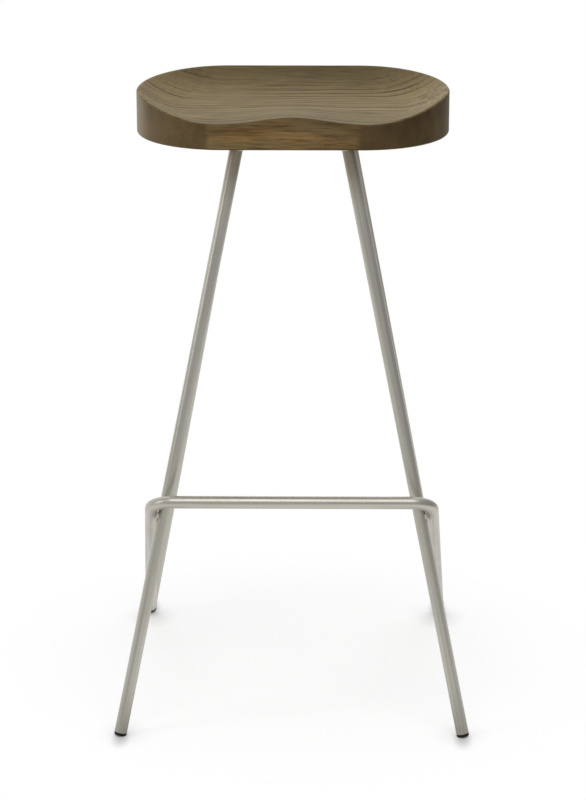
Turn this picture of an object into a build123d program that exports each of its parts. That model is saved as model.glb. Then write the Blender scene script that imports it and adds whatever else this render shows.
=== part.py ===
from build123d import *
from math import exp, hypot, sqrt
import os

# Counter stool: a carved saddle seat on a welded frame of round tube.
# Millimetres, +Z up. The origin is on the floor, in the middle of the stool's overall width and depth.
# The front of the stool faces -Y, and left and right are as seen from the front.

# Tube stock of the whole frame
tube_diameter = 13.5
tube_wall = 2.0
bend_radius = 25.0

# Seat
seat_width = 336.0
seat_front_depth = 101.0
seat_back_depth = 131.0
seat_end_length = 95.0
seat_underside = 637.4
rim_height = 49.8
hollow_thickness = 27.0
dish_start = 0.45
pommel_rise = 8.0
pommel_width = 47.0
pommel_length = 75.0
seat_bottom_round = 3.0
seat_top_round = 2.5

# Plate under the seat. The seat is widest a little in front of the plate's middle.
plate_y = -12.2
seat_lead = 5.0
plate_thickness = 4.0
plate_margin = 16.0
plate_corner_radius = 16.0

# Places of the leg axes, at the plate and on the floor
leg_top_half_width = 58.5
leg_top_half_depth = 67.0
front_foot_half_width = 187.3
front_foot_reach = 179.0
rear_foot_half_width = 175.6
rear_foot_reach = 187.15

# Footrest: where it passes the front legs, and how far the bar stands in front of them
footrest_crossing_height = 240.4
footrest_stand_off = 42.7
rear_joint_distance = 29.0

# Welds
weld_gap = 0.2
bead_reach = 6.8
bead_radius = 3.6
bead_end_share = 0.8
rear_weld_size = 0.7
plate_weld_size = 3.5

# Glides
front_glide_head_length = 3.4
rear_glide_head_length = 12.0
glide_stem_length = 18.0
glide_edge_round = 1.0
glide_clearance = 0.1
sole_cut = 1.5

# Fasteners between the plate and the seat
screw_diameter = 6.0
screw_length = 16.0
screw_head_diameter = 11.0
screw_head_height = 3.5
screw_head_round = 1.2
screw_socket_diameter = 4.6
screw_socket_depth = 2.0
screw_hole_clearance = 0.4
washer_diameter = 14.0
washer_thickness = 1.2
insert_diameter = 9.5
insert_length = 13.0
thread_clearance = 0.1
insert_hole_clearance = 0.1
insert_hole_spare_depth = 3.0
screw_edge_distance = 28.0
end_screw_spacing = 44.0

# Sizes that follow from the ones above
tube_radius = tube_diameter / 2
bore_radius = tube_radius - tube_wall
seat_straight = seat_width / 2 - seat_end_length
seat_widest_y = plate_y - seat_lead
seat_front_y = seat_widest_y - seat_front_depth
seat_back_y = seat_widest_y + seat_back_depth
plate_underside = seat_underside - plate_thickness
plate_half_width = leg_top_half_width + plate_margin
plate_half_depth = leg_top_half_depth + plate_margin
side_screw_x = plate_half_width - screw_edge_distance
end_screw_y = plate_half_depth - screw_edge_distance
screw_spots = [(-side_screw_x, plate_y), (side_screw_x, plate_y)]
screw_spots += [
    (x, y)
    for x in (-end_screw_spacing / 2, end_screw_spacing / 2)
    for y in (plate_y - end_screw_y, plate_y + end_screw_y)
]
sides = {"left": -1, "right": 1}

os.makedirs("parts", exist_ok=True)


def keep(piece, name):
    """Label a finished piece and write it to its own file."""
    piece.label = name
    export_step(piece, f"parts/{name}.step")


def rod(start, end, radius):
    """Solid round bar between two points."""
    axis = end - start
    with BuildPart() as bar:
        with BuildSketch(Plane(origin=start, z_dir=axis)):
            Circle(radius)
        extrude(amount=axis.length)
    return bar.part


def tube_end_distance(direction, head_length):
    """Distance along a tube from its floor point to its cut end, so that the glide's rim is cut flat."""
    rim_drop = tube_radius * sqrt(1 - direction.Z**2)
    return head_length + (rim_drop - sole_cut) / direction.Z


# Axes of the front legs, from the floor up to the plate
def front_leg_axis(side):
    foot = Vector(side * front_foot_half_width, -front_foot_reach, 0)
    top = Vector(side * leg_top_half_width, plate_y - leg_top_half_depth, plate_underside)
    return foot, top


# Axes of the footrest arms, from the floor up to the corner of the bar.
# The arm passes the outer side of the front leg, one tube and the weld gap away from its axis.
def arm_axis(side):
    foot, top = front_leg_axis(side)
    leg_direction = (top - foot).normalized()
    leg_point = foot + leg_direction * (footrest_crossing_height / leg_direction.Z)
    rear_foot = Vector(side * rear_foot_half_width, rear_foot_reach, 0)
    outward = Vector(side, 0, 0)
    for _ in range(4):
        arm_point = leg_point + outward * (tube_diameter + weld_gap)
        arm_direction = (arm_point - rear_foot).normalized()
        outward = arm_direction.cross(leg_direction).normalized()
        if outward.X * side < 0:
            outward = outward * -1
    corner = arm_point + arm_direction * footrest_stand_off
    return rear_foot, arm_direction, arm_point, corner


# Axes of the rear legs, from the arm's axis up to the plate
def rear_leg_axis(side):
    rear_foot, arm_direction, _, _ = arm_axis(side)
    joint = rear_foot + arm_direction * rear_joint_distance
    top = Vector(side * leg_top_half_width, plate_y + leg_top_half_depth, plate_underside)
    return joint, top


# Height of the carved top above the seat's underside.
# Reach is 0 in the middle and 1 on the outline. The rim rises all round but for the front edge,
# where two hollows for the thighs are left on either side of the pommel.
def seat_top(x, y):
    in_front = y < seat_widest_y
    along = max(abs(x) - seat_straight, 0) / seat_end_length
    across = (y - seat_widest_y) / (seat_front_depth if in_front else seat_back_depth)
    reach = hypot(along, across)
    climb = max(reach - dish_start, 0) / (1 - dish_start)
    facing = (along / reach) ** 2 if in_front else 1
    rim = (rim_height - hollow_thickness) * facing * climb**2
    from_front = y - seat_front_y
    pommel = pommel_rise * exp(-((x / pommel_width) ** 2) - (from_front / pommel_length) ** 2)
    return hollow_thickness + rim + pommel


# Seat: a plank with rounded ends, carved from above, with sockets for the threaded inserts
quarter = 90
blank_height = 2 * rim_height
carve_height = 2 * blank_height
carve_margin = 12.0
carve_columns = 45
carve_rows = 33
carve_tolerance = 0.05
carve_width = seat_width + 2 * carve_margin
carve_depth = seat_back_y - seat_front_y + 2 * carve_margin
carve_points = []
for row in range(carve_rows):
    y = seat_front_y - carve_margin + carve_depth * row / (carve_rows - 1)
    columns = [carve_width * (column / (carve_columns - 1) - 0.5) for column in range(carve_columns)]
    carve_points.append([Vector(x, y, seat_underside + seat_top(x, y)) for x in columns])
carve_face = Face.make_surface_from_array_of_points(carve_points, tol=carve_tolerance)

with BuildPart() as seat:
    with BuildSketch(Plane.XY.offset(seat_underside)):
        with BuildLine():
            right_centre = (seat_straight, seat_widest_y)
            left_centre = (-seat_straight, seat_widest_y)
            Line((-seat_straight, seat_front_y), (seat_straight, seat_front_y))
            EllipticalCenterArc(right_centre, seat_end_length, seat_front_depth, -quarter, arc_size=quarter)
            EllipticalCenterArc(right_centre, seat_end_length, seat_back_depth, 0, arc_size=quarter)
            Line((seat_straight, seat_back_y), (-seat_straight, seat_back_y))
            EllipticalCenterArc(left_centre, seat_end_length, seat_back_depth, quarter, arc_size=quarter)
            EllipticalCenterArc(left_centre, seat_end_length, seat_front_depth, 2 * quarter, arc_size=quarter)
        make_face()
    extrude(amount=blank_height)
    extrude(carve_face, amount=carve_height, dir=(0, 0, 1), mode=Mode.SUBTRACT)
    fillet(seat.faces().sort_by(Axis.Z)[0].edges(), radius=seat_bottom_round)
    carved_top = seat.faces().filter_by(GeomType.BSPLINE).sort_by(SortBy.AREA)[-1]
    fillet(carved_top.outer_wire().edges(), radius=seat_top_round)
    with BuildSketch(Plane.XY.offset(seat_underside)):
        with Locations(*screw_spots):
            Circle(insert_diameter / 2 + insert_hole_clearance)
    extrude(amount=insert_length + insert_hole_spare_depth, mode=Mode.SUBTRACT)
keep(seat.part, "seat")

# Plate: carries the four legs and is screwed to the underside of the seat
with BuildPart() as seat_plate:
    with BuildSketch(Plane.XY.offset(plate_underside)):
        with Locations((0, plate_y)):
            RectangleRounded(2 * plate_half_width, 2 * plate_half_depth, plate_corner_radius)
        with Locations(*screw_spots):
            Circle(screw_diameter / 2 + screw_hole_clearance, mode=Mode.SUBTRACT)
    extrude(amount=plate_thickness)
keep(seat_plate.part, "seat_plate")

# Front legs: straight tubes, cut square at the foot and flat against the plate
for name, side in sides.items():
    foot, top = front_leg_axis(side)
    direction = (top - foot).normalized()
    end = foot + direction * tube_end_distance(direction, front_glide_head_length)
    with BuildPart() as leg_front:
        with BuildSketch(Plane(origin=end, z_dir=direction)):
            Circle(tube_radius)
            Circle(bore_radius, mode=Mode.SUBTRACT)
        extrude(amount=(top - end).length + tube_diameter)
        split(bisect_by=Plane.XY.offset(plate_underside), keep=Keep.BOTTOM)
    keep(leg_front.part, f"leg_front_{name}")

# Footrest: one tube, bent at both ends of the bar, whose arms run back and down to the rear feet
footrest_points = []
for side in (-1, 1):
    rear_foot, arm_direction, _, corner = arm_axis(side)
    end = rear_foot + arm_direction * tube_end_distance(arm_direction, rear_glide_head_length)
    footrest_points += [end, corner] if side < 0 else [corner, end]
arm_start = footrest_points[0]
arm_run = footrest_points[1] - footrest_points[0]

with BuildPart() as footrest:
    with BuildLine() as footrest_path:
        FilletPolyline(*footrest_points, radius=bend_radius)
    with BuildSketch(Plane(origin=arm_start, z_dir=arm_run)):
        Circle(tube_radius)
        Circle(bore_radius, mode=Mode.SUBTRACT)
    sweep(path=footrest_path.line)
keep(footrest.part, "footrest")

# Rear legs: straight tubes, coped over the arms just above the rear feet
for name, side in sides.items():
    rear_foot, arm_direction, arm_point, _ = arm_axis(side)
    joint, top = rear_leg_axis(side)
    direction = (top - joint).normalized()
    arm_bar = rod(rear_foot, arm_point, tube_radius)
    with BuildPart() as leg_rear:
        with BuildSketch(Plane(origin=joint, z_dir=direction)):
            Circle(tube_radius)
            Circle(bore_radius, mode=Mode.SUBTRACT)
        extrude(amount=(top - joint).length + tube_diameter)
        split(bisect_by=Plane.XY.offset(plate_underside), keep=Keep.BOTTOM)
        add(arm_bar, mode=Mode.SUBTRACT)
    keep(leg_rear.part, f"leg_rear_{name}")

# Welds between the front legs and the footrest arms: a bead with round ends, square to the leg
for name, side in sides.items():
    foot, top = front_leg_axis(side)
    rear_foot, arm_direction, arm_point, corner = arm_axis(side)
    leg_direction = (top - foot).normalized()
    leg_point = foot + leg_direction * (footrest_crossing_height / leg_direction.Z)
    outward = (arm_point - leg_point).normalized()
    across = leg_direction.cross(outward)
    middle = (leg_point + arm_point) * 0.5
    leg_bar = rod(foot, top, tube_radius)
    arm_bar = rod(rear_foot, corner, tube_radius)
    with BuildPart() as footrest_weld:
        with BuildSketch(Plane(origin=middle - across * bead_reach, z_dir=across)):
            Circle(bead_radius)
        extrude(amount=2 * bead_reach)
        fillet(footrest_weld.edges().filter_by(GeomType.CIRCLE), radius=bead_end_share * bead_radius)
        add(leg_bar, mode=Mode.SUBTRACT)
        add(arm_bar, mode=Mode.SUBTRACT)
    keep(footrest_weld.part, f"footrest_weld_{name}")

# Welds around the coped ends of the rear legs
for name, side in sides.items():
    rear_foot, arm_direction, arm_point, _ = arm_axis(side)
    joint, top = rear_leg_axis(side)
    tube_end = rear_foot + arm_direction * tube_end_distance(arm_direction, rear_glide_head_length)
    leg_bar = rod(joint, top, tube_radius)
    arm_bar = rod(tube_end, arm_point, tube_radius)
    leg_skin = rod(joint, top, tube_radius + rear_weld_size)
    arm_skin = rod(tube_end, arm_point, tube_radius + rear_weld_size)
    with BuildPart() as rear_weld:
        add(leg_skin)
        add(arm_skin, mode=Mode.INTERSECT)
        add(leg_bar, mode=Mode.SUBTRACT)
        add(arm_bar, mode=Mode.SUBTRACT)
    keep(rear_weld.part, f"rear_weld_{name}")

# Fillet welds around the tops of the legs, under the plate
for name, side in sides.items():
    axes = {"front": front_leg_axis(side), "rear": rear_leg_axis(side)}
    for end_name, (foot, top) in axes.items():
        direction = (top - foot).normalized()
        leg_bar = rod(foot, top + direction * tube_diameter, tube_radius)
        with BuildPart() as plate_weld:
            with BuildSketch(Plane(origin=top - direction * plate_weld_size, z_dir=direction)):
                Circle(tube_radius)
            with BuildSketch(Plane(origin=top + direction * plate_weld_size, z_dir=direction)):
                Circle(tube_radius + 2 * plate_weld_size)
            loft()
            split(bisect_by=Plane.XY.offset(plate_underside), keep=Keep.BOTTOM)
            add(leg_bar, mode=Mode.SUBTRACT)
        keep(plate_weld.part, f"plate_weld_{end_name}_{name}")

# Glides: plugs in the tube ends, square to the tube and cut flat where they stand on the floor
for name, side in sides.items():
    foot, top = front_leg_axis(side)
    rear_foot, arm_direction, _, _ = arm_axis(side)
    tubes = {
        "front": (foot, (top - foot).normalized(), front_glide_head_length),
        "rear": (rear_foot, arm_direction, rear_glide_head_length),
    }
    for end_name, (floor_point, direction, head_length) in tubes.items():
        end = floor_point + direction * tube_end_distance(direction, head_length)
        with BuildPart() as glide:
            with BuildSketch(Plane(origin=end, z_dir=direction)):
                Circle(bore_radius - glide_clearance)
            extrude(amount=glide_stem_length)
            with BuildSketch(Plane(origin=end, z_dir=direction)):
                Circle(tube_radius)
            extrude(amount=-head_length)
            head_rim = glide.edges().filter_by(GeomType.CIRCLE).sort_by(Axis(end, direction))[0]
            fillet(head_rim, radius=glide_edge_round)
            split(bisect_by=Plane.XY, keep=Keep.TOP)
        keep(glide.part, f"glide_{end_name}_{name}")

# Threaded inserts in the seat, flush with its underside
with BuildPart() as seat_inserts:
    with BuildSketch(Plane.XY.offset(seat_underside)):
        with Locations(*screw_spots):
            Circle(insert_diameter / 2)
            Circle(screw_diameter / 2 + thread_clearance, mode=Mode.SUBTRACT)
    extrude(amount=insert_length)
keep(seat_inserts.part, "seat_inserts")

# Washers under the plate
with BuildPart() as seat_washers:
    with BuildSketch(Plane.XY.offset(plate_underside - washer_thickness)):
        with Locations(*screw_spots):
            Circle(washer_diameter / 2)
            Circle(screw_diameter / 2 + screw_hole_clearance, mode=Mode.SUBTRACT)
    extrude(amount=washer_thickness)
keep(seat_washers.part, "seat_washers")

# Screws: button heads with a hexagon socket, up through the washers and the plate into the inserts
head_top = plate_underside - washer_thickness
head_bottom = head_top - screw_head_height
with BuildPart() as seat_screws:
    with BuildSketch(Plane.XY.offset(head_bottom)):
        with Locations(*screw_spots):
            Circle(screw_head_diameter / 2)
    extrude(amount=screw_head_height)
    fillet(seat_screws.edges().group_by(Axis.Z)[0], radius=screw_head_round)
    with BuildSketch(Plane.XY.offset(head_top)):
        with Locations(*screw_spots):
            Circle(screw_diameter / 2)
    extrude(amount=screw_length)
    with BuildSketch(Plane.XY.offset(head_bottom)):
        with Locations(*screw_spots):
            RegularPolygon(radius=screw_socket_diameter / 2, side_count=6)
    extrude(amount=screw_socket_depth, mode=Mode.SUBTRACT)
keep(seat_screws.part, "seat_screws")
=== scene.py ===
from math import atan2, cos, exp, hypot, pi, radians, sin, sqrt, tan

import bpy
from mathutils import Matrix, Vector


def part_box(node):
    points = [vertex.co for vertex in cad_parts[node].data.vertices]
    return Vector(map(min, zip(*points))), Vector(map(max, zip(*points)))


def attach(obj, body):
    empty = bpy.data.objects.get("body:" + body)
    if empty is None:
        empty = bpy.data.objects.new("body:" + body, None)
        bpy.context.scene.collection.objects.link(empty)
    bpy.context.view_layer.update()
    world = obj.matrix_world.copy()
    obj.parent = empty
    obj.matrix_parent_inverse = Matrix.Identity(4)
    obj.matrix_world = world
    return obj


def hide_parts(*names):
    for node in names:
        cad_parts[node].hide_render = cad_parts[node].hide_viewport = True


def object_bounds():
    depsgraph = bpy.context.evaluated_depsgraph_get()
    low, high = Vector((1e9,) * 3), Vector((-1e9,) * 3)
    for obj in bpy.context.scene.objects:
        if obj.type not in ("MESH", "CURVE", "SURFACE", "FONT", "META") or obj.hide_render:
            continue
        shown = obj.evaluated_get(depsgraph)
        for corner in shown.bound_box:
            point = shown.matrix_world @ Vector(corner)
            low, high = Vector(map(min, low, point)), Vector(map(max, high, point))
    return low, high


bl_info = {
    "name": "Counter Stool",
    "version": (1, 0, 0),
    "blender": (4, 5, 0),
    "location": "View3D > Sidebar > Stool",
    "description": "Carved wooden saddle seat on a welded frame of brushed tube, with a studio stage",
    "category": "Object",
}

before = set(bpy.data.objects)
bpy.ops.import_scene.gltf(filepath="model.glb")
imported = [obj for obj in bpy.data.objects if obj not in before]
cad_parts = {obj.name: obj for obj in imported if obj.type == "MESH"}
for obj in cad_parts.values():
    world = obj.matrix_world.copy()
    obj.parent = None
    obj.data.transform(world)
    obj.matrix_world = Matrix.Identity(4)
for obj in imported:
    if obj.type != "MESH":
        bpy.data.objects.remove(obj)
cad_low, cad_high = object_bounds()
seat_low, seat_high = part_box("seat")
plate_low, plate_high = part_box("seat_plate")
mm = 0.001
sides = {"left": -1, "right": 1}
sharp_edge = radians(40)
white = (1.0, 1.0, 1.0, 1.0)
black = (0.0, 0.0, 0.0, 1.0)


# Settings


class StoolSeatSettings(bpy.types.PropertyGroup):
    """Sizes and stain of the carved seat"""

    front_depth: bpy.props.FloatProperty(
        name="Front depth",
        description="From the line where the seat is widest to its front edge",
        default=101 * mm,
        unit="LENGTH",
    )
    end_length: bpy.props.FloatProperty(
        name="End length",
        description="Length of each rounded end, from the straight edges to the tip",
        default=95 * mm,
        unit="LENGTH",
    )
    rim_height: bpy.props.FloatProperty(
        name="Rim height",
        description="Height of the carved rim above the underside, before its edge is eased",
        default=49.8 * mm,
        unit="LENGTH",
    )
    hollow_thickness: bpy.props.FloatProperty(
        name="Hollow thickness",
        description="Thickness of the wood in the lowest part of the seat",
        default=27 * mm,
        unit="LENGTH",
    )
    dish_start: bpy.props.FloatProperty(
        name="Dish start",
        description="Where the rim starts to climb, as a share of the way to the outline",
        default=0.45,
        subtype="FACTOR",
    )
    pommel_rise: bpy.props.FloatProperty(
        name="Pommel rise",
        description="Height of the ridge in the middle of the front edge",
        default=8 * mm,
        unit="LENGTH",
    )
    pommel_width: bpy.props.FloatProperty(
        name="Pommel width",
        description="Reach of the ridge to either side",
        default=47 * mm,
        unit="LENGTH",
    )
    pommel_length: bpy.props.FloatProperty(
        name="Pommel length",
        description="Reach of the ridge back from the front edge",
        default=75 * mm,
        unit="LENGTH",
    )
    top_round: bpy.props.FloatProperty(
        name="Top edge",
        description="Radius of the eased top edge",
        default=2.5 * mm,
        unit="LENGTH",
    )
    bottom_round: bpy.props.FloatProperty(
        name="Bottom edge",
        description="Radius of the eased bottom edge",
        default=3 * mm,
        unit="LENGTH",
    )
    flat_left: bpy.props.FloatProperty(
        name="Left turn of the grain",
        description="Where the flat front and back, with their long grain, turn into the left end",
        default=-88 * mm,
        unit="LENGTH",
    )
    flat_right: bpy.props.FloatProperty(
        name="Right turn of the grain",
        description="Where the flat front and back, with their long grain, turn into the right end",
        default=70 * mm,
        unit="LENGTH",
    )
    layer_pitch: bpy.props.FloatProperty(
        name="Growth layers",
        description="Distance from one bold growth line to the next",
        default=13 * mm,
        unit="LENGTH",
    )
    fine_pitch: bpy.props.FloatProperty(
        name="Fine layers",
        description="Distance from one fine growth line to the next",
        default=7.5 * mm,
        unit="LENGTH",
    )
    light_stain: bpy.props.FloatVectorProperty(
        name="Light stain",
        description="Stained wood between the growth lines",
        default=(0.366, 0.274, 0.124),
        subtype="COLOR",
        size=3,
    )
    dark_stain: bpy.props.FloatVectorProperty(
        name="Dark stain",
        description="Stained wood in the growth lines and pores",
        default=(0.122, 0.087, 0.039),
        subtype="COLOR",
        size=3,
    )
    olive_face: bpy.props.FloatVectorProperty(
        name="Dull side grain",
        description="Tint of the dull streaks on the flat front and back",
        default=(0.93, 0.86, 0.84),
        subtype="COLOR",
        size=3,
        max=2.0,
    )
    warm_face: bpy.props.FloatVectorProperty(
        name="Warm side grain",
        description="Tint of the warm streaks on the flat front and back",
        default=(1.28, 1.06, 0.90),
        subtype="COLOR",
        size=3,
        max=2.0,
    )
    # The darker tint of the back slope is painted shade
    back_slope: bpy.props.FloatVectorProperty(
        name="Back slope",
        description="Tint of the carved slope at the back, which cuts across the growth layers",
        default=(0.58, 0.58, 0.59),
        subtype="COLOR",
        size=3,
        max=2.0,
    )
    end_grain: bpy.props.FloatVectorProperty(
        name="End grain",
        description="Tint of the rounded ends, where the stain soaks in",
        default=(0.66, 0.59, 0.57),
        subtype="COLOR",
        size=3,
        max=2.0,
    )
    # Colour of the painted sheen at the left tip and in the streaks on the right end
    sheen_colour: bpy.props.FloatVectorProperty(
        name="Pale wood",
        description="Pale wood at the left tip and in the scuffs of the right end",
        default=(0.50, 0.43, 0.31),
        subtype="COLOR",
        size=3,
    )


class StoolFrameSettings(bpy.types.PropertyGroup):
    """Sizes and finish of the tube frame"""

    tube_diameter: bpy.props.FloatProperty(
        name="Tube diameter",
        description="Outside diameter of every tube",
        default=13.5 * mm,
        unit="LENGTH",
    )
    bend_radius: bpy.props.FloatProperty(
        name="Bend radius",
        description="Radius of the footrest's bends, at the middle of the tube",
        default=25 * mm,
        unit="LENGTH",
    )
    leg_top_half_width: bpy.props.FloatProperty(
        name="Leg top half width",
        description="From the middle to the leg axes at the plate, sideways",
        default=58.5 * mm,
        unit="LENGTH",
    )
    leg_top_half_depth: bpy.props.FloatProperty(
        name="Leg top half depth",
        description="From the middle of the plate to the leg axes, front to back",
        default=67 * mm,
        unit="LENGTH",
    )
    front_foot_half_width: bpy.props.FloatProperty(
        name="Front foot half width",
        description="From the middle to the front leg axes on the floor, sideways",
        default=187.3 * mm,
        unit="LENGTH",
    )
    front_foot_reach: bpy.props.FloatProperty(
        name="Front foot reach",
        description="From the middle to the front leg axes on the floor, forwards",
        default=179 * mm,
        unit="LENGTH",
    )
    rear_foot_half_width: bpy.props.FloatProperty(
        name="Rear foot half width",
        description="From the middle to the footrest arm axes on the floor, sideways",
        default=175.6 * mm,
        unit="LENGTH",
    )
    rear_foot_reach: bpy.props.FloatProperty(
        name="Rear foot reach",
        description="From the middle to the footrest arm axes on the floor, backwards",
        default=187.15 * mm,
        unit="LENGTH",
    )
    crossing_height: bpy.props.FloatProperty(
        name="Crossing height",
        description="Height at which the footrest arms pass the front legs",
        default=240.4 * mm,
        unit="LENGTH",
    )
    stand_off: bpy.props.FloatProperty(
        name="Stand-off",
        description="How far the footrest bar stands in front of the front legs, along its arms",
        default=42.7 * mm,
        unit="LENGTH",
    )
    weld_gap: bpy.props.FloatProperty(
        name="Weld gap",
        description="Gap between the front legs and the footrest arms where they pass",
        default=0.2 * mm,
        unit="LENGTH",
    )
    rear_joint_distance: bpy.props.FloatProperty(
        name="Rear joint distance",
        description="From the floor up the arm to where the rear leg meets it",
        default=29 * mm,
        unit="LENGTH",
    )
    metal_colour: bpy.props.FloatVectorProperty(
        name="Metal",
        description="Colour of the brushed tube",
        default=(0.527, 0.509, 0.455),
        subtype="COLOR",
        size=3,
    )
    leg_top_shade: bpy.props.FloatVectorProperty(
        name="Leg tops",
        description="Tint of the legs just under the seat, which stands in for shade there",
        default=(0.63, 0.58, 0.51),
        subtype="COLOR",
        size=3,
    )
    front_leg_shade: bpy.props.FloatVectorProperty(
        name="Front feet",
        description="Tint of the front legs near the floor, which stands in for shade there",
        default=(0.82, 0.82, 0.80),
        subtype="COLOR",
        size=3,
    )
    glide_colour: bpy.props.FloatVectorProperty(
        name="Glides",
        description="Colour of the plastic glides",
        default=(0.020, 0.014, 0.010),
        subtype="COLOR",
        size=3,
    )


class StoolStageSettings(bpy.types.PropertyGroup):
    """Camera, light and floor"""

    camera_distance: bpy.props.FloatProperty(
        name="Camera distance",
        description="From the middle of the plate to the camera, along the floor",
        default=2.84614,
        unit="LENGTH",
    )
    camera_height: bpy.props.FloatProperty(
        name="Camera height",
        description="Height of the camera above the floor",
        default=1.23044,
        unit="LENGTH",
    )
    camera_turn: bpy.props.FloatProperty(
        name="Camera turn",
        description="How far the camera stands to the right of the stool's front",
        default=radians(0.5523),
        subtype="ANGLE",
    )
    camera_pitch: bpy.props.FloatProperty(
        name="Camera pitch",
        description="How far the camera looks down",
        default=radians(17.5258),
        subtype="ANGLE",
    )
    focal_length: bpy.props.FloatProperty(
        name="Focal length",
        description="Focal length in picture heights",
        default=2677.82 / 800,
    )
    ambient: bpy.props.FloatProperty(
        name="Ambient light",
        description="Strength of the even light from all round",
        default=0.45,
    )
    top_power: bpy.props.FloatProperty(
        name="Top light",
        description="Power of the soft lamp above and in front",
        default=17.0,
        unit="POWER",
    )
    left_power: bpy.props.FloatProperty(
        name="Left light",
        description="Power of the tall soft lamp on the left",
        default=5.8,
        unit="POWER",
    )
    room_front: bpy.props.FloatProperty(
        name="Room in front",
        description="Brightness of the room behind the camera that the metal reflects, where 1 is white",
        default=0.54,
        subtype="FACTOR",
    )
    room_right: bpy.props.FloatProperty(
        name="Room on the right",
        description="Brightness of the room on the right that the metal reflects, where 1 is white",
        default=0.41,
        subtype="FACTOR",
    )
    floor_glow: bpy.props.FloatProperty(
        name="Floor glow",
        description="What lifts the lit floor to white, without lighting the stool",
        default=0.44,
    )
    floor_colour: bpy.props.FloatVectorProperty(
        name="Floor",
        description="Colour of the studio floor",
        default=(0.86, 0.86, 0.86),
        subtype="COLOR",
        size=3,
    )


# Shader building


class Value:
    """A shader socket on which arithmetic adds Math nodes."""

    def __init__(self, tree, socket):
        self.tree = tree
        self.socket = socket

    def math(self, operation, *values):
        node = self.tree.nodes.new("ShaderNodeMath")
        node.operation = operation
        for socket, value in zip(node.inputs, values):
            plug(self.tree, socket, value)
        return Value(self.tree, node.outputs[0])

    def __add__(self, other):
        return self.math("ADD", self, other)

    def __radd__(self, other):
        return self.math("ADD", other, self)

    def __sub__(self, other):
        return self.math("SUBTRACT", self, other)

    def __rsub__(self, other):
        return self.math("SUBTRACT", other, self)

    def __mul__(self, other):
        return self.math("MULTIPLY", self, other)

    def __rmul__(self, other):
        return self.math("MULTIPLY", other, self)

    def __truediv__(self, other):
        return self.math("DIVIDE", self, other)

    def __rtruediv__(self, other):
        return self.math("DIVIDE", other, self)

    def __pow__(self, other):
        return self.math("POWER", self, other)

    def __abs__(self):
        return self.math("ABSOLUTE", self)

    def larger(self, other):
        return self.math("MAXIMUM", self, other)

    def fraction(self):
        return self.math("FRACT", self)


def plug(tree, socket, value):
    """Link a wrapped socket to an input, or set a plain value on it."""
    if isinstance(value, Value):
        tree.links.new(value.socket, socket)
    else:
        socket.default_value = value


class Finish:
    """A node tree being written, for a material or the world."""

    def __init__(self, owner):
        owner.use_nodes = True
        self.tree = owner.node_tree
        self.tree.nodes.clear()

    def node(self, kind, settings=None, sockets=None, output=0):
        """Add a node, set its settings, then its sockets, and return one wrapped output."""
        node = self.tree.nodes.new("ShaderNode" + kind)
        for name, value in (settings or {}).items():
            setattr(node, name, value)
        for name, value in (sockets or {}).items():
            plug(self.tree, node.inputs[name], value)
        return Value(self.tree, node.outputs[output]) if node.outputs else None

    def place(self):
        """Where a point of the stool is, in metres."""
        return self.node("TexCoord", output="Object")

    def axis(self, vector, name):
        """One of a vector's numbers: X, Y or Z."""
        return self.node("SeparateXYZ", {}, {"Vector": vector}, name)

    def ray(self, name):
        """1 for one kind of ray, such as Camera, and 0 for the others."""
        return self.node("LightPath", output=f"Is {name} Ray")

    def noise(self, place, size, detail=2.0, roughness=0.5):
        """Noise whose unit is as long as size says, in millimetres along x, y and z."""
        scale = [1 / (length * mm) for length in size]
        scaled = self.node("VectorMath", {"operation": "MULTIPLY"}, {0: place, 1: scale})
        sockets = {"Vector": scaled, "Scale": 1.0, "Detail": detail, "Roughness": roughness}
        return self.node("TexNoise", {}, sockets)

    def smooth(self, value, low, high):
        """0 below low, 1 above high, with a soft step between."""
        settings = {"interpolation_type": "SMOOTHSTEP"}
        return self.node("MapRange", settings, {"Value": value, "From Min": low, "From Max": high})

    def band(self, value, start, full, fade, end):
        """1 from full to fade and 0 outside start and end, with soft steps between."""
        return self.smooth(value, start, full) * (1 - self.smooth(value, fade, end))

    def between(self, value, low, high):
        """Map 0..1 to low..high."""
        return self.node("MapRange", {}, {"Value": value, "To Min": low, "To Max": high})

    def mix(self, factor, first, second, blend="MIX"):
        """Mix two colours."""
        settings = {"data_type": "RGBA", "blend_type": blend}
        return self.node("Mix", settings, {0: factor, 6: first, 7: second}, output=2)

    def bump(self, height, distance, strength=1.0):
        sockets = {"Height": height, "Distance": distance, "Strength": strength}
        return self.node("Bump", {}, sockets)

    def surface(self, **values):
        """A Principled surface as the material's output. Names use _ for the spaces in socket names."""
        sockets = {name.replace("_", " "): value for name, value in values.items()}
        shader = self.node("BsdfPrincipled", {}, sockets)
        self.node("OutputMaterial", {}, {"Surface": shader})


def colour(values):
    """A colour of three numbers as a shader takes it."""
    return (*values, 1.0)


def new_finish(name):
    """A new material, with the writer of its nodes and the place that its patterns follow."""
    material = bpy.data.materials.new(name)
    finish = Finish(material)
    return material, finish, finish.place()


# Materials


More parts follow.
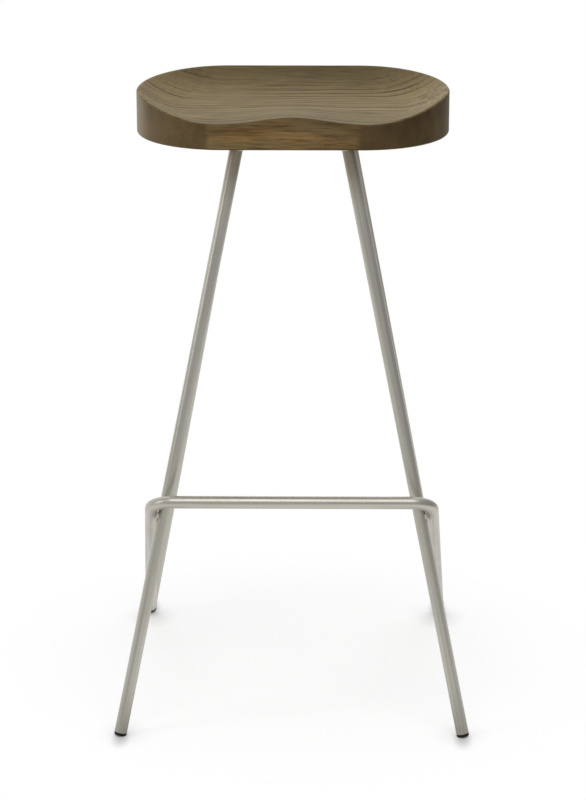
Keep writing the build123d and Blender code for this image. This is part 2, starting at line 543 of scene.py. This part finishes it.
def stained_wood(seat):
    """Open-grained wood with a brown stain, its grain from side to side and its growth layers upright, with
    painted shade and sheen in places.
    """
    material, finish, place = new_finish("stained_wood")
    normal = finish.node("NewGeometry", output="Normal")
    sideways = finish.axis(place, "X")
    backward = finish.axis(place, "Y")
    height = finish.axis(place, "Z") - seat_low.z
    facing_front = finish.axis(normal, "Y") * -1
    facing_up = abs(finish.axis(normal, "Z"))

    wander = finish.noise(place, (420, 60, 200), detail=1.0)
    drift = finish.noise(place, (150, 12, 60))
    layer = (backward / seat.layer_pitch + wander * 1.8 + drift * 0.5).fraction()
    line = finish.band(layer, 0.0, 0.08, 0.08, 0.42)
    pale = finish.band(layer, 0.60, 0.95, 0.95, 1.0)
    fine_layer = (backward / seat.fine_pitch + wander * 3.4 + drift).fraction()
    fine_line = finish.band(fine_layer, 0.0, 0.15, 0.15, 0.7)
    fade = finish.smooth(finish.noise(place, (130, 20, 70)), 0.40, 0.60)
    fine_fade = finish.smooth(finish.noise(place, (80, 22, 60)), 0.38, 0.62)

    fibre = finish.noise(place, (32, 2.6, 1.3), detail=3.0, roughness=0.6)
    streak = finish.noise(place, (30, 7.0, 2.4), detail=3.0)
    pores = finish.smooth(finish.noise(place, (9, 0.5, 0.5), detail=1.0), 0.62, 0.76)
    patch = finish.noise(place, (110, 60, 60))
    warm = finish.smooth(finish.noise(place, (70, 60, 9)), 0.36, 0.64)
    mottle = finish.noise(place, (16, 16, 26), detail=3.0)

    upright = 1 - finish.smooth(facing_up, 0.35, 0.75)
    ragged = (streak - 0.5) * (9 * mm)
    left_turn = finish.smooth(sideways + ragged, seat.flat_left - 3 * mm, seat.flat_left + 3 * mm)
    right_turn = finish.smooth(sideways + ragged, seat.flat_right - 5 * mm, seat.flat_right + 5 * mm)
    long_grain = left_turn - right_turn
    flat_face = upright * long_grain
    end_face = upright * (1 - long_grain)
    back_slope = finish.smooth(facing_front, 0.12, 0.50) * (1 - upright)
    carved_ends = finish.smooth(abs(sideways), 60 * mm, 130 * mm)

    # Painted highlight along the crest at the back of the pommel, with painted shade just behind it
    crest = backward + (wander - 0.5) * (40 * mm) + 35 * mm
    crest_highlight = finish.band(crest, -3 * mm, 4 * mm, 6 * mm, 16 * mm)
    crest_shade = finish.band(crest, 12 * mm, 16 * mm, 17 * mm, 22 * mm)
    crest_reach = finish.smooth(sideways, -80 * mm, -30 * mm)

    lines = line * fade * (0.42 + carved_ends * 0.12) - pale * fade * 0.20
    lines = lines + fine_line * fine_fade * (0.18 + carved_ends * 0.22)
    # The painted highlight and shade of the pommel's crest join the lines here
    lines = lines + (crest_shade * 0.22 - crest_highlight * 0.42) * crest_reach
    tone = 0.60 + (fibre - 0.5) * 0.9 + (streak - 0.5) * (0.3 + flat_face * 0.8) + (patch - 0.5) * 0.3
    tone = tone + (carved_ends * 0.10 - lines * (1 - back_slope * 0.75)) * (1 - upright)
    tone = 0.5 + (tone - 0.5) * (1 - end_face * 0.8) + (mottle - 0.5) * end_face * 0.5
    stain = finish.mix(finish.smooth(tone, 0.1, 0.9), colour(seat.dark_stain), colour(seat.light_stain))
    stain = finish.mix(pores * (1 - end_face) * 0.35, stain, colour(seat.dark_stain))
    stain = finish.mix(flat_face * (1 - warm), stain, colour(seat.olive_face), "MULTIPLY")
    stain = finish.mix(flat_face * warm, stain, colour(seat.warm_face), "MULTIPLY")
    stain = finish.mix(end_face, stain, colour(seat.end_grain), "MULTIPLY")
    # Painted shade: the slope at the back takes a darker tint
    stain = finish.mix(back_slope, stain, colour(seat.back_slope), "MULTIPLY")

    # Darker towards black near the top edge of the rounded ends, on the upper front face, towards the right
    # on upright faces, low on the right of the front, at the back right of the top and along its front. Near
    # the ends' top edge and towards the right this is painted shade, as from a light on the left; the other
    # patches are only darker.
    near_rim = finish.smooth(height + ragged, 14 * mm, 42 * mm) * end_face
    middle_rise = (1 - finish.smooth(abs(sideways - 15 * mm), 0.0, 75 * mm)) * (12 * mm)
    upper_face = finish.smooth(height + ragged - middle_rise, 11 * mm, 20 * mm) * flat_face
    low_right = finish.smooth(sideways, 5 * mm, 45 * mm) * flat_face
    low_right = low_right * (1 - finish.smooth(height + ragged, 5 * mm, 12 * mm))
    to_right = finish.band(sideways, -30 * mm, 110 * mm, 125 * mm, 160 * mm) * upright
    back_right = finish.smooth(backward, 0.0, 60 * mm) * finish.smooth(sideways, -60 * mm, 60 * mm)
    front_strip = finish.smooth(backward * -1, 65 * mm, 110 * mm)
    painted_shade_and_dark_patches = near_rim * 0.22 + upper_face * 0.32 + to_right * 0.22 + low_right * 0.2
    painted_shade_and_dark_patches = painted_shade_and_dark_patches + (back_right * 0.12 + front_strip * 0.14) * (1 - upright)
    # Mix in the painted shade and the darker patches
    stain = finish.mix(painted_shade_and_dark_patches, stain, black)
    # Painted sheen: the tip of the left end, and a little more of that end, paler
    left_tip_sheen = finish.smooth(sideways * -1, 148 * mm, 168 * mm) * 0.45
    left_tip_sheen = (left_tip_sheen + finish.smooth(sideways * -1, 118 * mm, 142 * mm) * 0.06) * end_face
    stain = finish.mix(left_tip_sheen, stain, colour(seat.sheen_colour))
    # Painted sheen: pale streaks on the carved top of the right end
    across_end = 1 - finish.smooth(abs(backward + 25 * mm), 15 * mm, 60 * mm)
    right_end_sheen = finish.smooth(sideways, 105 * mm, 145 * mm) * across_end * (1 - upright)
    right_end_sheen = right_end_sheen * finish.smooth(streak, 0.47, 0.60)
    stain = finish.mix(right_end_sheen * 0.42, stain, colour(seat.sheen_colour))
    roughness = finish.between(fibre, 0.42, 0.58) + pores * 0.1
    relief = finish.bump(fibre * 0.4 - pores * 0.4 - line * fade * 0.3, 0.12 * mm, 0.5)
    finish.surface(Base_Color=stain, Roughness=roughness, Specular_IOR_Level=0.11, Normal=relief)
    return material


def brushed_metal(settings):
    """Satin tube, streaked along it and finely scratched round it, with painted shade at the tops of the legs
    and near the front feet.

    Each tube's mesh carries its own place along and around it.
    """
    material, finish, place = new_finish("brushed_metal")
    along_tube = finish.node("Attribute", {"attribute_name": "tube_place"}, output="Vector")
    scratches = finish.noise(along_tube, (9, 9, 0.5), roughness=0.6)
    bands = finish.noise(along_tube, (1.9, 1.9, 200))
    cloud = finish.noise(along_tube, (14, 14, 40))
    shade = finish.between(bands, 0.66, 1.32) * finish.between(scratches, 0.97, 1.03)
    grey = finish.node("CombineColor", {}, {"Red": shade, "Green": shade, "Blue": shade})
    metal = finish.mix(1.0, colour(settings.metal_colour), grey, "MULTIPLY")
    metal = finish.mix(finish.smooth(cloud, 0.35, 0.7) * 0.5, metal, (0.95, 0.93, 0.88, 1.0), "MULTIPLY")
    backward = finish.axis(place, "Y")
    height = finish.axis(place, "Z")
    ragged = (cloud - 0.5) * (20 * mm)
    # Painted shade: the legs darker just under the seat
    near_top = finish.smooth(height + ragged, plate_low.z - 70 * mm, plate_low.z - 10 * mm)
    metal = finish.mix(near_top, metal, colour(settings.leg_top_shade), "MULTIPLY")
    # Painted shade: the front legs darker near the floor
    in_front = 1 - finish.smooth(backward, -50 * mm, 50 * mm)
    near_floor = in_front * (1 - finish.smooth(height, 15 * mm, 90 * mm))
    metal = finish.mix(near_floor, metal, colour(settings.front_leg_shade), "MULTIPLY")
    roughness = finish.between(scratches, 0.33, 0.39) + (cloud - 0.5) * 0.08
    relief = finish.bump(scratches, 0.05 * mm, 1.0)
    finish.surface(Base_Color=metal, Metallic=1.0, Roughness=roughness, Normal=relief)
    return material


def weld_bead(settings):
    """Bright welded metal with fine ripples."""
    material, finish, place = new_finish("weld_bead")
    wander = finish.noise(place, (6, 6, 6))
    upward = finish.axis(place, "Z")
    ripple = upward.math("SINE", upward * (2 * pi / (1.6 * mm)) + wander * 5.0) * 0.5 + 0.5
    stained = finish.smooth(wander, 0.35, 0.7)
    tint = finish.mix(stained, colour(settings.metal_colour), (0.48, 0.45, 0.40, 1.0))
    tint = finish.mix(ripple * 0.3, tint, (0.75, 0.74, 0.72, 1.0))
    relief = finish.bump(ripple, 0.25 * mm, 0.8)
    finish.surface(Base_Color=tint, Metallic=1.0, Roughness=finish.between(ripple, 0.25, 0.42), Normal=relief)
    return material


def moulded_plastic(settings):
    """Black moulded plastic with a fine matt texture."""
    material, finish, place = new_finish("moulded_plastic")
    speckle = finish.noise(place, (0.5, 0.5, 0.5))
    scuff = finish.noise(place, (5, 5, 2), detail=3.0)
    worn = finish.smooth(scuff, 0.55, 0.8) * 0.5
    plastic = finish.mix(worn, colour(settings.glide_colour), (0.03, 0.026, 0.022, 1.0))
    relief = finish.bump(speckle, 0.05 * mm, 0.5)
    roughness = finish.between(scuff, 0.48, 0.68)
    finish.surface(Base_Color=plastic, Roughness=roughness, Specular_IOR_Level=0.25, Normal=relief)
    return material


def rolled_plate():
    """Flat rolled plate under a dark oxide, with mill lines and a few worn patches."""
    material, finish, place = new_finish("rolled_plate")
    lines = finish.noise(place, (0.4, 80, 0.4), detail=3.0)
    cloud = finish.noise(place, (22, 22, 22), detail=4.0)
    darker = finish.smooth(cloud, 0.35, 0.7)
    oxide = finish.mix(darker, (0.10, 0.088, 0.072, 1.0), (0.065, 0.056, 0.046, 1.0))
    oxide = finish.mix(lines * 0.2, oxide, (0.20, 0.185, 0.16, 1.0))
    relief = finish.bump(lines, 0.03 * mm, 0.4)
    roughness = finish.between(cloud, 0.40, 0.60)
    finish.surface(Base_Color=oxide, Metallic=0.8, Roughness=roughness, Normal=relief)
    return material


def plated_fastener():
    """Zinc plated screws and washers."""
    material, finish, place = new_finish("plated_fastener")
    cloud = finish.noise(place, (3, 3, 3), detail=3.0)
    zinc = finish.mix(finish.smooth(cloud, 0.3, 0.7), (0.62, 0.63, 0.64, 1.0), (0.50, 0.50, 0.49, 1.0))
    relief = finish.bump(cloud, 0.05 * mm, 0.3)
    finish.surface(Base_Color=zinc, Metallic=1.0, Roughness=finish.between(cloud, 0.24, 0.42), Normal=relief)
    return material


def turned_brass():
    """Turned brass of the threaded inserts."""
    material, finish, place = new_finish("turned_brass")
    rings = finish.noise(place, (4, 4, 0.3))
    brass = finish.mix(rings, (0.62, 0.44, 0.17, 1.0), (0.50, 0.35, 0.14, 1.0))
    relief = finish.bump(rings, 0.05 * mm, 0.5)
    finish.surface(Base_Color=brass, Metallic=1.0, Roughness=finish.between(rings, 0.28, 0.45), Normal=relief)
    return material


# Meshes


def new_piece(name, points, faces, material, slot, *nodes):
    """Make a mesh piece, smooth but for its sharp edges, that rides on the stool and replaces nodes."""
    mesh = bpy.data.meshes.new(name)
    mesh.from_pydata(points, [], faces)
    mesh.validate()
    mesh.shade_smooth()
    mesh.set_sharp_from_angle(angle=sharp_edge)
    mesh.materials.append(material)
    piece = bpy.data.objects.new(name, mesh)
    bpy.context.scene.collection.objects.link(piece)
    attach(piece, "root")
    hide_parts(*nodes)
    check_fit(piece, nodes)
    return piece


def check_fit(piece, nodes):
    """Raise an error if a piece is not the size of the nodes that it stands for."""
    allowance = 1.5 * mm
    places = [vertex.co for vertex in piece.data.vertices]
    for axis in range(3):
        low = min(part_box(node)[0][axis] for node in nodes)
        high = max(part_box(node)[1][axis] for node in nodes)
        piece_low = min(place[axis] for place in places)
        piece_high = max(place[axis] for place in places)
        if abs(piece_low - low) > allowance or abs(piece_high - high) > allowance:
            raise ValueError(f"{piece.name} departs from {nodes}: {piece_low - low}, {piece_high - high}")


def paint(node, material):
    """Give a node of the frame a material."""
    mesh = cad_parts[node].data
    mesh.materials.clear()
    mesh.materials.append(material)


def ring_faces(rings, around, closed_start=True, closed_end=True):
    """Quads between rings of points that follow one another, with the end rings filled."""
    faces = []
    for ring in range(rings - 1):
        for step in range(around):
            following = (step + 1) % around
            low, high = ring * around, (ring + 1) * around
            faces.append((low + step, low + following, high + following, high + step))
    if closed_start:
        faces.append(tuple(reversed(range(around))))
    if closed_end:
        faces.append(tuple(range((rings - 1) * around, rings * around)))
    return faces


class CarvedSeat:
    """The seat's outline and carved top."""

    def __init__(self, seat):
        self.seat = seat
        self.half_width = seat_high.x
        self.straight = self.half_width - seat.end_length
        self.front_y = seat_low.y
        self.back_y = seat_high.y
        self.widest_y = self.front_y + seat.front_depth
        self.back_depth = self.back_y - self.widest_y
        self.underside = seat_low.z

    def top(self, x, y):
        """Height of the carved top."""
        seat = self.seat
        in_front = y < self.widest_y
        along = max(abs(x) - self.straight, 0) / seat.end_length
        across = (y - self.widest_y) / (seat.front_depth if in_front else self.back_depth)
        reach = hypot(along, across)
        climb = max(reach - seat.dish_start, 0) / (1 - seat.dish_start)
        facing = (along / reach) ** 2 if in_front else 1
        rim = (seat.rim_height - seat.hollow_thickness) * facing * climb**2
        from_front = y - self.front_y
        ridge = exp(-((x / seat.pommel_width) ** 2) - (from_front / seat.pommel_length) ** 2)
        return self.underside + seat.hollow_thickness + rim + seat.pommel_rise * ridge

    def outline(self, straight_steps, quarter_steps):
        """Points of the outline with their outward normals, from the left end of the front edge."""
        points = []
        for step in range(straight_steps):
            x = self.straight * (2 * step / straight_steps - 1)
            points.append((Vector((x, self.front_y)), Vector((0, -1))))
        points += self.end_points(1, quarter_steps)
        for step in range(straight_steps):
            x = self.straight * (1 - 2 * step / straight_steps)
            points.append((Vector((x, self.back_y)), Vector((0, 1))))
        points += self.end_points(-1, quarter_steps)
        return points

    def end_points(self, side, quarter_steps):
        """One rounded end: front quarter then back quarter on the right, the other way on the left."""
        points = []
        for step in range(2 * quarter_steps):
            angle = pi * step / (2 * quarter_steps) - pi / 2
            turn = angle if side > 0 else -angle
            depth = self.seat.front_depth if turn < 0 else self.back_depth
            length = self.seat.end_length
            place = Vector((side * (self.straight + length * cos(turn)), self.widest_y + depth * sin(turn)))
            normal = Vector((side * depth * cos(turn), length * sin(turn))).normalized()
            points.append((place, normal))
        return points

    def eased_edge(self, place, normal, steps):
        """Points of the rounded top edge at one place of the outline, from the top to the wall."""
        radius = self.seat.top_round
        inward = radius
        for _ in range(4):
            near = place - normal * (inward - 0.5 * mm)
            far = place - normal * (inward + 0.5 * mm)
            slope = (self.top(*near) - self.top(*far)) / mm
            tilt = atan2(slope, 1)
            inward = radius * (1 + sin(tilt))
        touch = place - normal * inward
        centre_height = self.top(*touch) - radius * cos(tilt)
        points = []
        for step in range(steps + 1):
            angle = pi / 2 + tilt - (pi / 2 + tilt) * step / steps
            reach = radius * (1 - cos(angle))
            spot = place - normal * reach
            points.append(Vector((spot.x, spot.y, centre_height + radius * sin(angle))))
        return points


def seat_mesh(seat):
    """Points and faces of the seat: rings from the middle of the top, over the edge, down and under."""
    shape = CarvedSeat(seat)
    outline = shape.outline(straight_steps=56, quarter_steps=44)
    top_rings, edge_steps, wall_steps, under_rings = 44, 6, 8, 5
    columns = []
    for place, normal in outline:
        edge = shape.eased_edge(place, normal, edge_steps)
        middle = Vector((max(-shape.straight, min(shape.straight, place.x)), shape.widest_y))
        rim = edge[0].to_2d()
        column = []
        for step in range(top_rings):
            share = (step + 0.35) / top_rings
            spot = middle.lerp(rim, share)
            column.append(Vector((spot.x, spot.y, shape.top(*spot))))
        column += edge
        radius = seat.bottom_round
        wall_top = edge[-1].z
        wall_bottom = shape.underside + radius
        for step in range(1, wall_steps):
            height = wall_top + (wall_bottom - wall_top) * step / wall_steps
            column.append(Vector((place.x, place.y, height)))
        for step in range(edge_steps + 1):
            angle = pi / 2 * step / edge_steps
            spot = place - normal * radius * (1 - cos(angle))
            column.append(Vector((spot.x, spot.y, wall_bottom - radius * sin(angle))))
        last = column[-1]
        for step in range(1, under_rings):
            spot = last.to_2d().lerp(middle, step / under_rings)
            column.append(Vector((spot.x, spot.y, shape.underside)))
        columns.append(column)
    around = len(columns)
    rings = len(columns[0])
    points = [columns[step][ring] for ring in range(rings) for step in range(around)]
    return points, ring_faces(rings, around)


class TubeFrame:
    """Axes of the tubes, worked out from the places of the feet and of the leg tops."""

    def __init__(self, settings):
        self.settings = settings
        self.plate_y = (plate_low.y + plate_high.y) / 2
        self.plate_underside = plate_low.z

    def leg_top(self, side, direction):
        y = self.plate_y + direction * self.settings.leg_top_half_depth
        return Vector((side * self.settings.leg_top_half_width, y, self.plate_underside))

    def front_leg(self, side):
        foot = Vector((side * self.settings.front_foot_half_width, -self.settings.front_foot_reach, 0))
        return foot, self.leg_top(side, -1)

    def arm(self, side):
        """Rear foot, direction and front corner of one footrest arm, which passes outside the front leg."""
        settings = self.settings
        foot, top = self.front_leg(side)
        leg_direction = (top - foot).normalized()
        leg_point = foot + leg_direction * (settings.crossing_height / leg_direction.z)
        rear_foot = Vector((side * settings.rear_foot_half_width, settings.rear_foot_reach, 0))
        outward = Vector((side, 0, 0))
        for _ in range(4):
            arm_point = leg_point + outward * (settings.tube_diameter + settings.weld_gap)
            direction = (arm_point - rear_foot).normalized()
            outward = direction.cross(leg_direction).normalized()
            if outward.x * side < 0:
                outward.negate()
        return rear_foot, direction, arm_point + direction * settings.stand_off

    def rear_leg(self, side):
        rear_foot, direction, _ = self.arm(side)
        return rear_foot + direction * self.settings.rear_joint_distance, self.leg_top(side, 1)


def glide_edge(direction, node, tube_radius):
    """Distance along a tube, from the floor, at which its end meets the head of its glide."""
    low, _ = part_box(node)
    rim_drop = tube_radius * sqrt(1 - direction.z**2)
    return (low.z + rim_drop) / direction.z


def tube_mesh(name, path, radius, material, node, flat_top=None):
    """A round tube along a path of points, cut flat at a height if one is given.

    The attribute tube_place holds each point's place across and along the tube, for the brushing.
    """
    around = 48
    points, places = [], []
    length = 0.0
    tangent = (path[1] - path[0]).normalized()
    across = tangent.orthogonal().normalized()
    for index, centre in enumerate(path):
        before = path[max(index - 1, 0)]
        after = path[min(index + 1, len(path) - 1)]
        following = (after - before).normalized()
        turn = tangent.rotation_difference(following)
        across = (turn @ across).normalized()
        tangent = following
        up = tangent.cross(across)
        length += (centre - before).length
        for step in range(around):
            angle = 2 * pi * step / around
            offset = across * (radius * cos(angle)) + up * (radius * sin(angle))
            point = centre + offset
            slide = 0.0
            if flat_top is not None and index == len(path) - 1:
                slide = (flat_top - point.z) / tangent.z
            points.append(point + tangent * slide)
            places.append((radius * cos(angle), radius * sin(angle), length + slide))
    piece = new_piece(name, points, ring_faces(len(path), around), material, "tube", node)
    attribute = piece.data.attributes.new("tube_place", "FLOAT_VECTOR", "POINT")
    attribute.data.foreach_set("vector", [number for place in places for number in place])
    return piece


def straight_run(start, end, spacing=30 * mm):
    """Evenly spaced points from start to end."""
    steps = max(2, round((end - start).length / spacing))
    return [start.lerp(end, step / steps) for step in range(steps + 1)]


def bend_points(before, corner, after, radius, steps=14):
    """Points of the round bend that replaces a corner."""
    back = (before - corner).normalized()
    onward = (after - corner).normalized()
    half_angle = back.angle(onward) / 2
    tangent_length = radius / tan(half_angle)
    centre = corner + (back + onward).normalized() * (radius / sin(half_angle))
    start = corner + back * tangent_length - centre
    axis = back.cross(onward).normalized()
    sweep = -(pi - 2 * half_angle)
    return [centre + Matrix.Rotation(sweep * step / steps, 3, axis) @ start for step in range(steps + 1)]


# Operators


class STOOL_OT_seat(bpy.types.Operator):
    """Carve the wooden seat"""

    bl_idname = "stool.seat"
    bl_label = "Seat"

    def execute(self, context):
        seat = context.scene.stool_seat
        points, faces = seat_mesh(seat)
        new_piece("saddle_seat", points, faces, stained_wood(seat), "seat", "seat")
        return {"FINISHED"}


class STOOL_OT_tubes(bpy.types.Operator):
    """Bend and brush the tubes of the frame: four legs and the footrest"""

    bl_idname = "stool.tubes"
    bl_label = "Tubes"

    def execute(self, context):
        settings = context.scene.stool_frame
        tubes = TubeFrame(settings)
        metal = brushed_metal(settings)
        radius = settings.tube_diameter / 2
        for name, side in sides.items():
            foot, top = tubes.front_leg(side)
            direction = (top - foot).normalized()
            start = foot + direction * glide_edge(direction, f"leg_front_{name}", radius)
            path = straight_run(start, top)
            tube_mesh(f"front_leg_{name}", path, radius, metal, f"leg_front_{name}", tubes.plate_underside)
            joint, top = tubes.rear_leg(side)
            path = straight_run(joint, top)
            tube_mesh(f"rear_leg_{name}", path, radius, metal, f"leg_rear_{name}", tubes.plate_underside)
        rear_left, direction, left_corner = tubes.arm(-1)
        left_end = rear_left + direction * glide_edge(direction, "footrest", radius)
        rear_right, direction, right_corner = tubes.arm(1)
        right_end = rear_right + direction * glide_edge(direction, "footrest", radius)
        left_bend = bend_points(left_end, left_corner, right_corner, settings.bend_radius)
        right_bend = bend_points(left_corner, right_corner, right_end, settings.bend_radius)
        path = straight_run(left_end, left_bend[0])[:-1] + left_bend
        path += straight_run(left_bend[-1], right_bend[0])[1:-1] + right_bend
        path += straight_run(right_bend[-1], right_end)[1:]
        tube_mesh("footrest_tube", path, radius, metal, "footrest")
        return {"FINISHED"}


class STOOL_OT_welds(bpy.types.Operator):
    """Finish the weld beads of the frame"""

    bl_idname = "stool.welds"
    bl_label = "Welds"

    def execute(self, context):
        bead = weld_bead(context.scene.stool_frame)
        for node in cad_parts:
            if "weld" in node:
                paint(node, bead)
        return {"FINISHED"}


class STOOL_OT_glides(bpy.types.Operator):
    """Finish the plastic glides in the tube ends"""

    bl_idname = "stool.glides"
    bl_label = "Glides"

    def execute(self, context):
        plastic = moulded_plastic(context.scene.stool_frame)
        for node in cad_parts:
            if node.startswith("glide"):
                paint(node, plastic)
        return {"FINISHED"}


class STOOL_OT_fastening(bpy.types.Operator):
    """Finish the plate under the seat, its screws and washers and the inserts in the wood"""

    bl_idname = "stool.fastening"
    bl_label = "Fastening"

    def execute(self, context):
        paint("seat_plate", rolled_plate())
        zinc = plated_fastener()
        paint("seat_screws", zinc)
        paint("seat_washers", zinc)
        paint("seat_inserts", turned_brass())
        return {"FINISHED"}


class STOOL_OT_stage(bpy.types.Operator):
    """Set up the floor, the lamps, the surroundings and the camera"""

    bl_idname = "stool.stage"
    bl_label = "Stage"

    def execute(self, context):
        stage = context.scene.stool_stage
        middle = Vector((0, 0, cad_high.z / 2))
        self.floor(stage)
        self.surroundings(context.scene, stage)
        top_place, top_size = Vector((0.2, -1.35, 2.45)), (2.2, 1.6)
        left_place, left_size = Vector((-2.25, -1.0, 1.35)), (0.6, 1.6)
        self.lamp("top_lamp", top_place, middle, top_size, stage.top_power)
        self.lamp("left_lamp", left_place, middle, left_size, stage.left_power)
        self.camera(context.scene, stage)
        context.scene.view_settings.view_transform = "Standard"
        return {"FINISHED"}

    def floor(self, stage):
        half = 1.5
        corners = [(-half, -half, 0), (half, -half, 0), (half, half, 0), (-half, half, 0)]
        mesh = bpy.data.meshes.new("floor")
        mesh.from_pydata(corners, [], [(0, 1, 2, 3)])
        floor = bpy.data.objects.new("floor", mesh)
        bpy.context.scene.collection.objects.link(floor)
        material, finish, place = new_finish("floor")
        mesh.materials.append(material)
        distance = finish.node("VectorMath", {"operation": "LENGTH"}, {0: place}, output="Value")
        far = finish.smooth(distance, 0.12, 0.42)
        matt = finish.node("BsdfDiffuse", {}, {"Color": colour(stage.floor_colour)})
        glow = finish.node("Emission", {}, {"Color": white, "Strength": stage.floor_glow})
        lifted = finish.node("AddShader", {}, {0: matt, 1: glow})
        open_floor = finish.node("AmbientOcclusion", {"samples": 16}, {"Distance": 30 * mm}, output="AO")
        backdrop = finish.node("Emission", {}, {"Color": white, "Strength": 1.0})
        near_and_far = finish.node("MixShader", {}, {0: far, 1: lifted, 2: backdrop})
        front = self.foot_shade(finish, place, "glide_front_right", -7 * mm, 12 * mm, 29 * mm)
        rear = self.foot_shade(finish, place, "glide_rear_right", 20 * mm, 12 * mm, 29 * mm)
        mirrored = self.foot_shade(finish, place, "glide_front_right", -7 * mm, 75 * mm, 220 * mm)
        shade = (1 - open_floor).larger(front).larger(rear) * finish.ray("Camera")
        shade = shade + (0.08 + mirrored) * finish.ray("Glossy")
        shown = finish.node("MixShader", {}, {0: self.seen(finish) - shade, 1: matt, 2: near_and_far})
        finish.node("OutputMaterial", {}, {"Surface": shown})

    def foot_shade(self, finish, place, glide, shift, width, length):
        """Patches that fade out round a glide and its like on the other side, moved back by a shift."""
        low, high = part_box(glide)
        middle = (low + high) / 2
        across = (abs(finish.axis(place, "X")) - middle.x) / width
        ahead = (finish.axis(place, "Y") - middle.y - shift) / length
        reach = (across * across + ahead * ahead) ** 0.5
        return (1 - finish.smooth(reach, 0.1, 1.25)) * 0.85

    def seen(self, finish):
        """1 for rays that show the stage itself: to the camera, in a reflection or through glass."""
        return finish.ray("Camera").larger(finish.ray("Glossy")).larger(finish.ray("Transmission"))

    def surroundings(self, scene, stage):
        """White all round, but for the unlit room behind the camera in reflections.

        It lights the stool less than it shows, and more from the back and the left.
        """
        world = bpy.data.worlds.new("studio")
        scene.world = world
        finish = Finish(world)
        direction = finish.node("TexCoord", output="Generated")
        to_right = finish.axis(direction, "X")
        to_back = finish.axis(direction, "Y")
        low = 1 - finish.smooth(finish.axis(direction, "Z"), 0.1, 0.8)
        in_front = finish.smooth(to_back * -1, -0.6, 0.1) * (1 - stage.room_front)
        on_right = finish.smooth(to_right, 0.1, 0.8) * (1 - stage.room_right)
        unlit = in_front.larger(on_right) * finish.ray("Glossy")
        level = 0.5 + to_back * 0.40 - to_right * low * 0.42
        strong = finish.node("Background", {}, {"Color": white, "Strength": 2 * stage.ambient})
        bright = finish.node("Background", {}, {"Color": white, "Strength": 1.0})
        dark = finish.node("Background", {}, {"Color": black, "Strength": 1.0})
        ambient = finish.node("MixShader", {}, {0: level, 1: dark, 2: strong})
        backdrop = finish.node("MixShader", {}, {0: unlit, 1: bright, 2: dark})
        shown = finish.node("MixShader", {}, {0: self.seen(finish), 1: ambient, 2: backdrop})
        finish.node("OutputWorld", {}, {"Surface": shown})

    def lamp(self, name, place, target, size, power):
        light = bpy.data.lights.new(name, "AREA")
        light.shape = "RECTANGLE"
        light.size, light.size_y = size
        light.energy = power
        lamp = bpy.data.objects.new(name, light)
        lamp.location = place
        lamp.rotation_euler = (target - place).to_track_quat("-Z", "Y").to_euler()
        lamp.visible_camera = False
        bpy.context.scene.collection.objects.link(lamp)

    def camera(self, scene, stage):
        data = bpy.data.cameras.new("camera")
        data.lens = stage.focal_length * data.sensor_width
        camera = bpy.data.objects.new("camera", data)
        plate_y = (plate_low.y + plate_high.y) / 2
        turn, distance = stage.camera_turn, stage.camera_distance
        camera.location = (distance * sin(turn), plate_y - distance * cos(turn), stage.camera_height)
        camera.rotation_euler = (pi / 2 - stage.camera_pitch, 0, turn)
        scene.collection.objects.link(camera)
        scene.camera = camera


class STOOL_PT_panel(bpy.types.Panel):
    """Lists the steps and settings of the stool"""

    bl_idname = "STOOL_PT_panel"
    bl_label = "Counter Stool"
    bl_space_type = "VIEW_3D"
    bl_region_type = "UI"
    bl_category = "Stool"

    def draw(self, context):
        scene = context.scene
        for operator in operators:
            self.layout.operator(operator.bl_idname)
        for settings in (scene.stool_seat, scene.stool_frame, scene.stool_stage):
            box = self.layout.box()
            for name in settings.__annotations__:
                box.prop(settings, name)


operators = (
    STOOL_OT_seat,
    STOOL_OT_tubes,
    STOOL_OT_welds,
    STOOL_OT_glides,
    STOOL_OT_fastening,
    STOOL_OT_stage,
)
settings_groups = {
    "stool_seat": StoolSeatSettings,
    "stool_frame": StoolFrameSettings,
    "stool_stage": StoolStageSettings,
}


def register():
    for name, group in settings_groups.items():
        bpy.utils.register_class(group)
        setattr(bpy.types.Scene, name, bpy.props.PointerProperty(type=group))
    for operator in operators:
        bpy.utils.register_class(operator)
    bpy.utils.register_class(STOOL_PT_panel)


def unregister():
    bpy.utils.unregister_class(STOOL_PT_panel)
    for operator in reversed(operators):
        bpy.utils.unregister_class(operator)
    for name, group in reversed(settings_groups.items()):
        delattr(bpy.types.Scene, name)
        bpy.utils.unregister_class(group)


def main():
    register()
    bpy.ops.stool.seat()
    bpy.ops.stool.tubes()
    bpy.ops.stool.welds()
    bpy.ops.stool.glides()
    bpy.ops.stool.fastening()
    bpy.ops.stool.stage()


if __name__ == "__main__":
    main()
